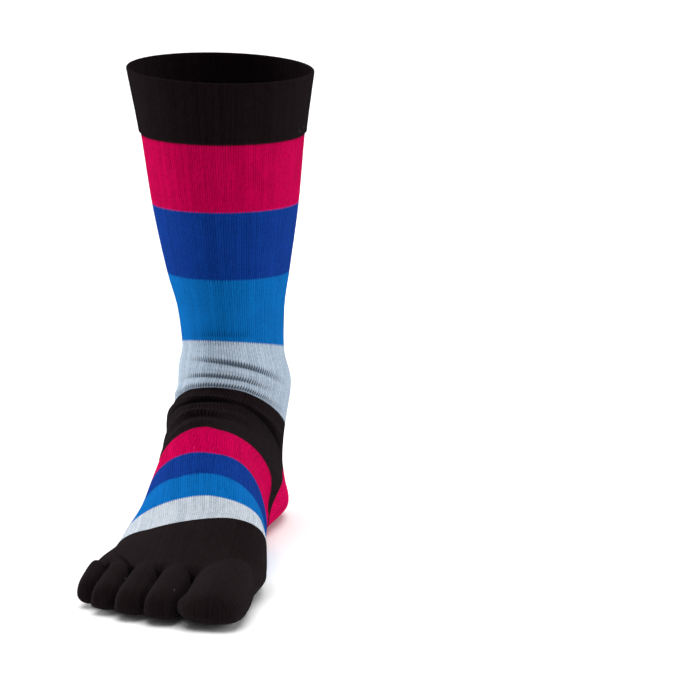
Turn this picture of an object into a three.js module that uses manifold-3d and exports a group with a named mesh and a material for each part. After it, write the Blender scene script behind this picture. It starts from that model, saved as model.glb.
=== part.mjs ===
// A knitted toe sock for a right foot, in the form that it has when worn.
// Millimetres. The origin is the ankle joint's centre, +Z up the shin,
// -Y towards the toes and +X towards the big toe.
import * as THREE from 'three';
import { mergeVertices, toCreasedNormals } from 'three/addons/utils/BufferGeometryUtils.js';
import Module from 'manifold-3d';

const wasm = await Module();
wasm.setup();

// Knit and clearances
const wall = 1.2; // one knitted layer
const weltWall = 2.2; // the cuff, knitted double
const cuffProud = weltWall - wall; // the cuff stands out and its inside runs on
const seamGap = 0.3; // clearance between neighbouring pieces

// Leg, heights down its front
const cuffHeight = 35;
const raspberryHeight = 40;
const royalHeight = 41;
const azureHeight = 38;
const iceHeight = 26.5;
const calfWidth = 111;
const calfDepth = 114;
const shinWidth = 61.6; // the narrowest place, just above the ankle bones
const shinDepth = 81;
const ankleWidth = 68; // over the ankle bones

// Ankle and heel
const bendRise = 15.5; // the ice stripe's lower edge, above the ankle joint
const ankleRise = 82; // the ankle joint above the sole
const heelReach = 48; // the ankle joint to the back of the heel
const heelWidth = 66;
const pocketRise = 32; // the heel pocket's back edge, above the sole
const pocketReach = 80; // the heel pocket's length along the sole

// Foot, lengths towards the toes along the top of the foot
const instepReach = 66; // the ankle joint to the ankle band's lower edge
const instepHeight = 79;
const instepWidth = 69;
const footRaspberryRun = 16;
const footRoyalRun = 14;
const footAzureRun = 14;
const footIceRun = 14;
const forefootRun = 36;
const ballWidth = 97;
const toeLineHeight = 25;
const noseReach = 8; // the rounded end of the forefoot between the toes
const toeLength = 43; // the big toe, from the toe line to its tip
const toeHeight = 26;

// Folds pressed in where the knit gathers at the ankle
const foldRise = 2;

// How finely the rings are divided
const ringSides = 32;
const toeSides = 12;
const seamSteps = 7;
const probe = 0.01; // stations or radians, for slopes
const cuffTurn = 0.35; // how far the cuff's turned edge rounds up, as a share of its wall

// Colours of the yarns
const yarns = {
  black: 0x121014,
  raspberry: 0xb80a48,
  royal: 0x1d4b96,
  azure: 0x1575b4,
  ice: 0xa9c6d6,
};

const clamp = THREE.MathUtils.clamp;
const lerp = THREE.MathUtils.lerp;

// Whole stations are the borders between the stripes, from the cuff's top, 0, to the toe line, 12
const legHeights = [cuffHeight, raspberryHeight, royalHeight, azureHeight, iceHeight];
const footRuns = [footRaspberryRun, footRoyalRun, footAzureRun, footIceRun];
const bendStation = legHeights.length;
const instepStation = bendStation + 1;
const toeRootStation = instepStation + footRuns.length;
const toeStation = toeRootStation + 2;

// Height of the leg's front line over the ankle joint
function frontRise(station) {
  return legHeights.reduce(
    (rise, height, band) => rise + height * clamp(band + 1 - station, 0, 1), bendRise);
}

// How far the foot's top line has run towards the toes
function topRun(station) {
  const run = footRuns.reduce(
    (sum, width, band) => sum + width * clamp(station - instepStation - band, 0, 1), instepReach);
  return run + forefootRun * clamp((station - toeRootStation) / 2, 0, 1);
}

// Front line, seen from the side
const frontLine = [
  { station: 0, y: -0.404 * calfDepth, z: frontRise(0) },
  { station: 1, y: -0.404 * calfDepth, z: frontRise(1) },
  { station: 2, y: -0.377 * calfDepth, z: frontRise(2) },
  { station: 3, y: -0.494 * shinDepth, z: frontRise(3) },
  { station: 3.6, y: -0.481 * shinDepth, z: frontRise(3.6) },
  { station: 4, y: -0.481 * shinDepth, z: frontRise(4) },
  { station: 4.5, y: -0.506 * shinDepth, z: frontRise(4.5) },
  { station: 5, y: -0.531 * shinDepth, z: frontRise(5) },
  { station: 5.4, y: -0.773 * instepReach, z: lerp(bendRise, instepHeight - ankleRise, 0.46) },
  { station: 5.7, y: -0.879 * instepReach, z: lerp(bendRise, instepHeight - ankleRise, 0.78) },
  { station: 6, y: -topRun(6), z: instepHeight - ankleRise },
  { station: 7, y: -topRun(7), z: lerp(toeLineHeight, instepHeight, 0.796) - ankleRise },
  { station: 8, y: -topRun(8), z: lerp(toeLineHeight, instepHeight, 0.63) - ankleRise },
  { station: 9, y: -topRun(9), z: lerp(toeLineHeight, instepHeight, 0.463) - ankleRise },
  { station: 10, y: -topRun(10), z: lerp(toeLineHeight, instepHeight, 0.296) - ankleRise },
  { station: 11, y: -topRun(11), z: lerp(toeLineHeight, instepHeight, 0.13) - ankleRise },
  { station: 12, y: -topRun(12), z: toeLineHeight - ankleRise },
];

// Back line of the leg, round the heel and on along the sole
const backLine = [
  { station: 0, y: 0.596 * calfDepth, z: frontRise(0) + 0.044 * calfDepth },
  { station: 1, y: 0.579 * calfDepth, z: frontRise(1) },
  { station: 2, y: 0.5 * calfDepth, z: frontRise(2) - 0.018 * calfDepth },
  { station: 3, y: 0.58 * shinDepth, z: frontRise(3) - 0.049 * shinDepth },
  { station: 3.6, y: 0.519 * shinDepth, z: frontRise(3.6) - 0.111 * shinDepth },
  { station: 4, y: 0.519 * shinDepth, z: frontRise(4) - 0.247 * shinDepth },
  { station: 4.5, y: 0.531 * shinDepth, z: frontRise(4.5) - 0.407 * shinDepth },
  { station: 5, y: 0.94 * heelReach, z: -0.402 * ankleRise },
  { station: 5.4, y: 0.98 * heelReach, z: -0.79 * ankleRise },
  { station: 5.55, y: 0.87 * heelReach, z: -0.97 * ankleRise },
  { station: 5.7, y: 0.5 * heelReach, z: -ankleRise },
  { station: 6, y: -0.273 * instepReach, z: -ankleRise },
  { station: 7, y: 0.43 * instepHeight - topRun(7), z: -0.99 * ankleRise },
  { station: 8, y: 0.329 * instepHeight - topRun(8), z: -0.99 * ankleRise },
  { station: 9, y: 0.228 * instepHeight - topRun(9), z: -0.99 * ankleRise },
  { station: 10, y: 0.127 * instepHeight - topRun(10), z: -ankleRise },
  { station: 11, y: 0.101 * instepHeight - topRun(11), z: -ankleRise },
  { station: 12, y: 0.025 * instepHeight - topRun(12), z: -0.99 * ankleRise },
];

// Girth of each ring: shift moves it sideways, crest leans its top sideways, belly lowers its
// widest place, and dome and base square off its upper and lower half (2 is an ellipse)
const girths = [
  { station: 0, half: 0.5 * calfWidth, shift: -0.087 * calfWidth, crest: 0, belly: 0, dome: 2, base: 2 },
  { station: 1, half: 0.443 * calfWidth, shift: -0.074 * calfWidth, crest: 0, belly: 0, dome: 2, base: 2 },
  { station: 2, half: 0.399 * calfWidth, shift: -0.058 * calfWidth, crest: 0, belly: 0, dome: 2, base: 2 },
  { station: 3, half: 0.6 * shinWidth, shift: -0.069 * shinWidth, crest: 0, belly: 0, dome: 2, base: 2 },
  { station: 3.6, half: 0.516 * shinWidth, shift: -0.036 * shinWidth, crest: 0, belly: 0, dome: 2, base: 2 },
  { station: 4, half: 0.495 * shinWidth, shift: -0.021 * shinWidth, crest: 0, belly: 0, dome: 2, base: 2 },
  { station: 4.5, half: 0.5 * ankleWidth, shift: -0.005 * ankleWidth, crest: 0, belly: 0, dome: 2, base: 2 },
  { station: 5, half: 0.49 * ankleWidth, shift: -0.045 * ankleWidth, crest: 0, belly: 0, dome: 2, base: 2.1 },
  { station: 5.4, half: 0.51 * heelWidth, shift: -0.115 * heelWidth, crest: -0.03 * heelWidth,
    belly: -0.3, dome: 2.2, base: 4 },
  { station: 5.7, half: 0.525 * heelWidth, shift: -0.06 * heelWidth, crest: -0.07 * heelWidth,
    belly: -0.5, dome: 2.2, base: 5 },
  { station: 6, half: 0.49 * instepWidth, shift: -0.1 * instepWidth, crest: 0.02 * instepWidth,
    belly: -0.4, dome: 2.2, base: 2.6 },
  { station: 7, half: 0.53 * instepWidth, shift: -0.068 * instepWidth, crest: 0.058 * instepWidth,
    belly: -0.4, dome: 2.1, base: 2.5 },
  { station: 8, half: 0.402 * ballWidth, shift: -0.036 * ballWidth, crest: 0.085 * ballWidth,
    belly: -0.4, dome: 2, base: 2.6 },
  { station: 9, half: 0.438 * ballWidth, shift: -0.031 * ballWidth, crest: 0.155 * ballWidth,
    belly: -0.4, dome: 2, base: 2.7 },
  { station: 10, half: 0.469 * ballWidth, shift: -0.021 * ballWidth, crest: 0.227 * ballWidth,
    belly: -0.4, dome: 2, base: 2.7 },
  { station: 11, half: 0.518 * ballWidth, shift: -0.018 * ballWidth, crest: 0.155 * ballWidth,
    belly: -0.3, dome: 2, base: 2.7 },
  { station: 12, half: 0.515 * ballWidth, shift: -0.025 * ballWidth, crest: 0.08 * ballWidth,
    belly: -0.2, dome: 2, base: 2.7 },
];

// How far each ring turns: roll tips it sideways, sweep draws its little toe's side back
const turns = [
  { station: 0, roll: -0.04, sweep: 0 },
  { station: 1, roll: -0.015, sweep: 0 },
  { station: 2, roll: 0, sweep: 0 },
  { station: 10, roll: 0, sweep: 0 },
  { station: 11, roll: 0, sweep: -0.05 },
  { station: 12, roll: 0, sweep: -0.12 },
];

// Gathers round the ankle: angle is where each is deepest (90 is the front, 180 the little toe's
// side), spread its half length in degrees, slant its fall in stations for each 90 degrees,
// rise how far it stands out, and breadth its half width in stations
const folds = [
  { station: 3.92, angle: 95, spread: 75, slant: 0.04, rise: -0.45 * foldRise, breadth: 0.09 },
  { station: 4.36, angle: 80, spread: 70, slant: -0.1, rise: 0.4 * foldRise, breadth: 0.09 },
  { station: 4.56, angle: 65, spread: 65, slant: -0.16, rise: -0.7 * foldRise, breadth: 0.08 },
  { station: 4.76, angle: 80, spread: 80, slant: -0.08, rise: 0.35 * foldRise, breadth: 0.08 },
  { station: 5.2, angle: 75, spread: 95, slant: 0.05, rise: 0.6 * foldRise, breadth: 0.08 },
  { station: 5.37, angle: 80, spread: 80, slant: 0.1, rise: -0.6 * foldRise, breadth: 0.08 },
  { station: 5.57, angle: 92, spread: 55, slant: 0.2, rise: 0.6 * foldRise, breadth: 0.09 },
  { station: 5.64, angle: 158, spread: 40, slant: 0, rise: 1.1 * foldRise, breadth: 0.14 },
];

// The hollow under the inner ankle bone, laid out as a gather is
folds.push({ station: 5.5, angle: -15, spread: 50, slant: 0, rise: -0.02 * heelWidth, breadth: 0.38 });

// Where the knit sits askew, so that a border runs ahead of its ring or behind it. Angle and
// spread are as for a gather, and slip and breadth are in stations
const slips = [
  { station: 5, angle: 0, spread: 60, slip: 0.07, breadth: 0.3 },
  { station: 5, angle: 150, spread: 30, slip: 0.14, breadth: 0.25 },
  { station: 6, angle: 33, spread: 42, slip: -0.24, breadth: 0.4 },
  { station: 6, angle: -45, spread: 55, slip: 0.25, breadth: 0.4 },
  { station: 6, angle: 132, spread: 45, slip: 0.2, breadth: 0.3 },
  { station: 7, angle: 5, spread: 75, slip: -0.37, breadth: 0.4 },
  { station: 8, angle: 145, spread: 30, slip: -0.15, breadth: 0.3 },
  { station: 9, angle: 65, spread: 30, slip: 0.12, breadth: 0.3 },
  { station: 10, angle: 125, spread: 40, slip: 0.09, breadth: 0.4 },
  { station: 10, angle: 172, spread: 35, slip: -0.25, breadth: 0.4 },
];

// Toe pockets, from the big toe outwards. Width is the room each takes across the toe line,
// length runs from the toe line to the tip, and fan is how far the tip leans outwards
const toes = [
  { name: 'toe_big', width: 0.351 * ballWidth, length: toeLength, height: toeHeight, fan: 0.01 * ballWidth },
  { name: 'toe_second', width: 0.198 * ballWidth, length: 0.97 * toeLength, height: 0.95 * toeHeight,
    fan: 0.016 * ballWidth },
  { name: 'toe_third', width: 0.176 * ballWidth, length: 0.91 * toeLength, height: 0.92 * toeHeight,
    fan: 0.018 * ballWidth },
  { name: 'toe_fourth', width: 0.158 * ballWidth, length: 0.78 * toeLength, height: 0.87 * toeHeight,
    fan: 0.016 * ballWidth },
  { name: 'toe_little', width: 0.115 * ballWidth, length: 0.57 * toeLength, height: 0.81 * toeHeight,
    fan: 0.007 * ballWidth },
];

// One toe pocket's rings, in shares of its own length, width and height. Those before the toe
// line lie inside the forefoot, and ear draws the blunt tip out to its outer corner
const toeRings = [
  { along: -0.3, width: 0.8, height: 0.9, lift: 0.04, ear: 0 },
  { along: 0.06, width: 0.94, height: 0.96, lift: 0.02, ear: 0 },
  { along: 0.3, width: 1, height: 0.93, lift: 0.01, ear: 0 },
  { along: 0.55, width: 1, height: 0.86, lift: 0.03, ear: 0 },
  { along: 0.78, width: 0.96, height: 0.74, lift: 0.09, ear: 0.02 },
  { along: 0.93, width: 0.82, height: 0.56, lift: 0.17, ear: 0.05 },
  { along: 1, width: 0.58, height: 0.4, lift: 0.24, ear: 0.08 },
];

const toeShape = { belly: -0.15, dome: 2.5, base: 2.8 }; // as a ring's girth
const medialEdge = 0.497 * ballWidth; // the big toe's outer side, from the ankle joint

// Smooth curve through one column of a table, with no overshoot between its rows
function track(rows, column) {
  const at = rows.map((row) => row.station);
  const value = rows.map((row) => row[column]);
  const slope = value.slice(1).map((v, i) => (v - value[i]) / (at[i + 1] - at[i]));
  const tangent = value.map((_, i) => {
    if (i === 0) return slope[0];
    if (i === slope.length) return slope[i - 1];
    if (slope[i - 1] * slope[i] <= 0) return 0;
    const before = at[i] - at[i - 1];
    const after = at[i + 1] - at[i];
    const near = 2 * after + before;
    const far = after + 2 * before;
    return (near + far) / (near / slope[i - 1] + far / slope[i]);
  });
  return (station) => {
    const i = clamp(at.findIndex((s) => s > station) - 1, 0, slope.length - 1);
    const k = station >= at[at.length - 1] ? slope.length - 1 : i;
    const span = at[k + 1] - at[k];
    const u = (station - at[k]) / span;
    const hold = u * u * (3 - 2 * u);
    return value[k] * (1 - hold) + value[k + 1] * hold
      + span * u * (1 - u) * (tangent[k] * (1 - u) - tangent[k + 1] * u);
  };
}

const front = { y: track(frontLine, 'y'), z: track(frontLine, 'z') };
const back = { y: track(backLine, 'y'), z: track(backLine, 'z') };
const girth = Object.fromEntries(
  ['half', 'shift', 'crest', 'belly', 'dome', 'base'].map((name) => [name, track(girths, name)]));
const turn = { roll: track(turns, 'roll'), sweep: track(turns, 'sweep') };

// A point of a squared ellipse, both ways from -1 to 1, with its widest place at belly
function squared(angle, belly, dome, base) {
  const power = 2 / (Math.sin(angle) > 0 ? dome : base);
  const across = Math.sign(Math.cos(angle)) * Math.abs(Math.cos(angle)) ** power;
  const rise = Math.abs(Math.sin(angle)) ** power;
  return { across, up: Math.sin(angle) > 0 ? belly + (1 - belly) * rise : belly - (1 + belly) * rise };
}

// What the gathers or the slips add up to at a place
function gathered(rows, column, station, angle) {
  return rows.reduce((total, row) => {
    const off = THREE.MathUtils.radToDeg(Math.atan2(
      Math.sin(angle - THREE.MathUtils.degToRad(row.angle)),
      Math.cos(angle - THREE.MathUtils.degToRad(row.angle))));
    const reach = Math.cos(clamp(off / row.spread, -1, 1) * Math.PI / 2);
    const past = (station - row.station - (row.slant ?? 0) * off / 90) / row.breadth;
    return total + row[column] * reach * Math.exp(-past * past);
  }, 0);
}

// The knit's outer face before it folds
function ringPoint(plainStation, angle) {
  const station = plainStation + gathered(slips, 'slip', plainStation, angle);
  const belly = girth.belly(station);
  const { across, up } = squared(angle, belly, girth.dome(station), girth.base(station));
  const lean = girth.crest(station) * clamp((up - belly) / (1 - belly), 0, 1) ** 1.5;
  const x = girth.shift(station) + girth.half(station) * across + lean;
  return new THREE.Vector3(
    x,
    lerp(back.y(station), front.y(station), (1 + up) / 2) + turn.sweep(station) * x,
    lerp(back.z(station), front.z(station), (1 + up) / 2) + turn.roll(station) * x,
  );
}

// A point lifted off the outer face, with the gathers
function knitPoint(station, angle, lift) {
  const along = ringPoint(station + probe, angle).sub(ringPoint(station - probe, angle));
  const round = ringPoint(station, angle + probe).sub(ringPoint(station, angle - probe));
  const outward = round.cross(along).normalize();
  return ringPoint(station, angle).addScaledVector(outward, lift + gathered(folds, 'rise', station, angle));
}

// The station that lies a distance past another one, along the knit at this angle
function stationPast(station, angle, distance) {
  const ahead = ringPoint(station + probe, angle).distanceTo(ringPoint(station - probe, angle));
  return station + distance * 2 * probe / ahead;
}

// One ring of points
function knitRing(sides, pointAt) {
  return Array.from({ length: sides }, (_, side) => pointAt(side * 2 * Math.PI / sides));
}

// A closed skin over rings that follow one another. The first and last ring either meet
// (a tube wall turned back on itself) or are closed with a fan
function skin(rings, joined) {
  const sides = rings[0].length;
  const points = rings.flat();
  const faces = [];
  const last = rings.length - 1;
  for (let row = 0; row < (joined ? rings.length : last); row += 1) {
    const next = (row + 1) % rings.length;
    for (let side = 0; side < sides; side += 1) {
      const beside = (side + 1) % sides;
      const [a, b] = [row * sides + side, row * sides + beside];
      const [c, d] = [next * sides + side, next * sides + beside];
      faces.push(a, b, d, a, d, c);
    }
  }
  if (!joined) {
    const cap = (row, flip) => {
      const middle = new THREE.Vector3();
      rings[row].forEach((p) => middle.addScaledVector(p, 1 / sides));
      points.push(middle);
      for (let side = 0; side < sides; side += 1) {
        const [a, b] = [row * sides + side, row * sides + (side + 1) % sides];
        faces.push(...(flip ? [b, a, points.length - 1] : [a, b, points.length - 1]));
      }
    };
    cap(0, true);
    cap(last, false);
  }
  const geometry = new THREE.BufferGeometry().setFromPoints(points);
  geometry.setIndex(faces);
  return geometry;
}

// A band of knit between two stations, as a tube wall. A turned band has a rounded top edge
function bandGeometry({ from, to, rows, thick = wall, proud = 0, turned = false }) {
  const outer = [];
  const inner = [];
  for (let row = 0; row < rows; row += 1) {
    const stationAt = (angle) => lerp(
      stationPast(from, angle, from === 0 ? 0 : seamGap / 2),
      stationPast(to, angle, -seamGap / 2),
      row / (rows - 1));
    outer.push(knitRing(ringSides, (angle) => knitPoint(stationAt(angle), angle, proud)));
    inner.push(knitRing(ringSides, (angle) => knitPoint(stationAt(angle), angle, proud - thick)));
  }
  if (!turned) return skin([...outer, ...inner.reverse()], true);
  const edge = knitRing(ringSides, (angle) => {
    const top = stationPast(from, angle, -cuffTurn * thick);
    return knitPoint(top, angle, proud - thick / 2);
  });
  return skin([...outer, ...inner.reverse(), edge], true);
}

// Solids for joining and cutting
function solidOf(geometry) {
  const merged = geometry.clone();
  merged.deleteAttribute('normal');
  merged.deleteAttribute('uv');
  const clean = mergeVertices(merged, 1e-4);
  return new wasm.Manifold(new wasm.Mesh({
    numProp: 3,
    vertProperties: new Float32Array(clean.attributes.position.array),
    triVerts: new Uint32Array(clean.index.array),
  }));
}

function geometryOf(solid) {
  const { vertProperties, triVerts } = solid.getMesh();
  const geometry = new THREE.BufferGeometry();
  geometry.setAttribute('position', new THREE.BufferAttribute(vertProperties, 3));
  geometry.setIndex(new THREE.BufferAttribute(triVerts, 1));
  return geometry;
}

// Everything under the heel seam, a quarter ellipse that rises from the sole and levels off at the back
function underHeelSeam(offset) {
  const width = 2 * heelWidth;
  const outline = new THREE.Shape();
  outline.moveTo(heelReach - pocketReach - offset, -ankleRise - pocketRise);
  for (let step = 0; step <= seamSteps; step += 1) {
    const angle = 0.5 * Math.PI * step / seamSteps;
    outline.lineTo(
      heelReach - (pocketReach + offset) * Math.cos(angle),
      -ankleRise + (pocketRise + offset) * Math.sin(angle));
  }
  outline.lineTo(2 * heelReach, -ankleRise + pocketRise + offset);
  outline.lineTo(2 * heelReach, -ankleRise - pocketRise);
  const block = new THREE.ExtrudeGeometry(outline, { depth: width, bevelEnabled: false });
  block.translate(0, 0, -width / 2);
  block.rotateY(Math.PI / 2);
  block.rotateX(Math.PI / 2);
  return solidOf(block);
}

// The forefoot as a solid body, lift further out than the knit's outer face
function forefootSolid(lift, backStation) {
  const rings = [];
  const bodyRows = 4;
  for (let row = 0; row < bodyRows; row += 1) {
    rings.push(knitRing(ringSides, (angle) => {
      const start = stationPast(backStation, angle, backStation === toeRootStation ? 0.8 * seamGap : 0);
      return knitPoint(lerp(start, toeStation, row / (bodyRows - 1)), angle, lift);
    }));
  }
  const end = rings[bodyRows - 1];
  const middle = end.reduce((sum, p) => sum.addScaledVector(p, 1 / ringSides), new THREE.Vector3());
  for (const degrees of [40, 75]) {
    const angle = THREE.MathUtils.degToRad(degrees);
    const shrink = 1 - (noseReach + toeLineHeight / 2) / toeLineHeight * (1 - Math.cos(angle));
    const reach = (noseReach + lift) * Math.sin(angle);
    rings.push(end.map((p) => new THREE.Vector3(
      lerp(middle.x, p.x, 1 - (1 - shrink) * toeLineHeight / ballWidth),
      p.y - reach,
      lerp(middle.z, p.z, shrink))));
  }
  return solidOf(skin(rings, false));
}

// Where each toe pocket's middle lies across the toe line
toes.forEach((toe, index) => {
  const before = toes.slice(0, index).reduce((sum, other) => sum + other.width + seamGap, 0);
  toe.middle = medialEdge - before - toe.width / 2;
});

// One toe pocket as a solid body, inset from the knit's outer face
function toeSolid(toe, inset) {
  const rings = toeRings.map((row) => knitRing(toeSides, (angle) => {
    const { across, up } = squared(angle, toeShape.belly, toeShape.dome, toeShape.base);
    const half = row.width * toe.width / 2 - inset;
    const bottom = row.lift * toe.height + inset;
    const top = (row.lift + row.height) * toe.height - inset;
    const reach = row.along * toe.length - inset * Math.max(row.along, 0);
    return new THREE.Vector3(
      toe.middle - row.along * toe.fan - row.ear * toe.width + half * across,
      -topRun(toeStation) - reach + turn.sweep(toeStation) * toe.middle,
      -ankleRise + lerp(bottom, top, (1 + up) / 2));
  }));
  return solidOf(skin(rings, false));
}

const sock = new THREE.Group();

function addPiece(name, geometry, yarn) {
  const creased = toCreasedNormals(geometry, THREE.MathUtils.degToRad(50));
  const material = new THREE.MeshStandardMaterial({ color: yarns[yarn], roughness: 0.9, metalness: 0 });
  const mesh = new THREE.Mesh(creased, material);
  mesh.name = name;
  sock.add(mesh);
}

// Plain bands of the leg and the foot
const bands = [
  { name: 'cuff', yarn: 'black', from: 0, to: 1, rows: 4, thick: weltWall, proud: cuffProud, turned: true },
  { name: 'leg_stripe_raspberry', yarn: 'raspberry', from: 1, to: 2, rows: 4 },
  { name: 'leg_stripe_royal', yarn: 'royal', from: 2, to: 3, rows: 4 },
  { name: 'leg_stripe_azure', yarn: 'azure', from: 3, to: 4, rows: 4 },
  { name: 'leg_stripe_ice', yarn: 'ice', from: 4, to: 5, rows: 10 },
  { name: 'foot_stripe_raspberry', yarn: 'raspberry', from: 6, to: 7, rows: 3 },
  { name: 'foot_stripe_royal', yarn: 'royal', from: 7, to: 8, rows: 3 },
  { name: 'foot_stripe_azure', yarn: 'azure', from: 8, to: 9, rows: 3 },
  { name: 'foot_stripe_ice', yarn: 'ice', from: 9, to: 10, rows: 3 },
];
bands.forEach((band) => addPiece(band.name, bandGeometry(band), band.yarn));

// The ankle band, parted along the heel seam from the heel pocket
const ankle = solidOf(bandGeometry({ from: bendStation, to: instepStation, rows: 11 }));
addPiece('ankle_band', geometryOf(ankle.subtract(underHeelSeam(seamGap / 2))), 'black');
addPiece('heel_pocket', geometryOf(ankle.intersect(underHeelSeam(-seamGap / 2))), 'raspberry');

// The forefoot is a hollow body with an opening into each toe pocket
const insideStation = toeRootStation - 0.2;
let forefoot = forefootSolid(0, toeRootStation).subtract(forefootSolid(-wall, insideStation));
toes.forEach((toe) => {
  forefoot = forefoot.subtract(toeSolid(toe, wall));
});
addPiece('forefoot', geometryOf(forefoot), 'black');

// Toe pockets, open where they meet the forefoot
const forefootClear = forefootSolid(seamGap, insideStation);
toes.forEach((toe) => {
  const pocket = toeSolid(toe, 0).subtract(toeSolid(toe, wall)).subtract(forefootClear);
  addPiece(toe.name, geometryOf(pocket), 'black');
});

export default sock;
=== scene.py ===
import math

import bpy
import numpy as np
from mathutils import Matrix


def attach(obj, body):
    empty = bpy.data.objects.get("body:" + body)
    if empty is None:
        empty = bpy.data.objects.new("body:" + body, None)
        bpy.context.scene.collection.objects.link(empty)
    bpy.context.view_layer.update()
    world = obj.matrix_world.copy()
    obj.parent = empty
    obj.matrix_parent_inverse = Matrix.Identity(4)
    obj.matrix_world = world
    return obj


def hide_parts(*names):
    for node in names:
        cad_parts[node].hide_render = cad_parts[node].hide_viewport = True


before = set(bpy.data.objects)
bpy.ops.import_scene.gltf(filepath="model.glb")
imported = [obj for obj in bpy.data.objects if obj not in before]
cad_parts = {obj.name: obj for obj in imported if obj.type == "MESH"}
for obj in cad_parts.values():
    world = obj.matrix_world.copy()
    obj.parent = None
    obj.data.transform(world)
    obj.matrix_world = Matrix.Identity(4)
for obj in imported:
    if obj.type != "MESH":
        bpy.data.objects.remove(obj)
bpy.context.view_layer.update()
print("frame loaded")

millimetre = 0.001

# Driving sizes, in millimetres
leg = {
    "heights": [35, 40, 41, 38, 26.5],  # cuff, raspberry, royal, azure, ice
    "calfWidth": 111, "calfDepth": 114,
    "shinWidth": 61.6, "shinDepth": 81,
    "ankleWidth": 68, "bendRise": 15.5,
}
foot = {
    "runs": [16, 14, 14, 14],  # raspberry, royal, azure, ice
    "forefootRun": 36, "noseReach": 8,
    "ankleRise": 82, "heelReach": 48, "heelWidth": 66,
    "pocketRise": 32, "pocketReach": 80,
    "instepReach": 66, "instepHeight": 79, "instepWidth": 69,
    "ballWidth": 97, "toeLineHeight": 25,
}
knit = {
    "wall": 1.2, "weltWall": 2.2, "cuffProud": 1.0, "coursePitch": 0.8, "stitchDepth": 0.26,
    "sides": 240,  # points round each tube
}

# Stations count the borders between the bands, from the cuff's top at 0 to the toe line
bendStation, instepStation, toeRootStation, toeStation = 5, 6, 10, 12
fineSteps, stationSteps = 720, 20  # steps that measure a ring, and the run of each station


def frontRise(station):
    return leg["bendRise"] + sum(
        height * min(max(band + 1 - station, 0), 1)
        for band, height in enumerate(leg["heights"]))


def topRun(station):
    run = foot["instepReach"] + sum(
        width * min(max(station - instepStation - band, 0), 1)
        for band, width in enumerate(foot["runs"]))
    return run + foot["forefootRun"] * min(max((station - toeRootStation) / 2, 0), 1)


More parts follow.
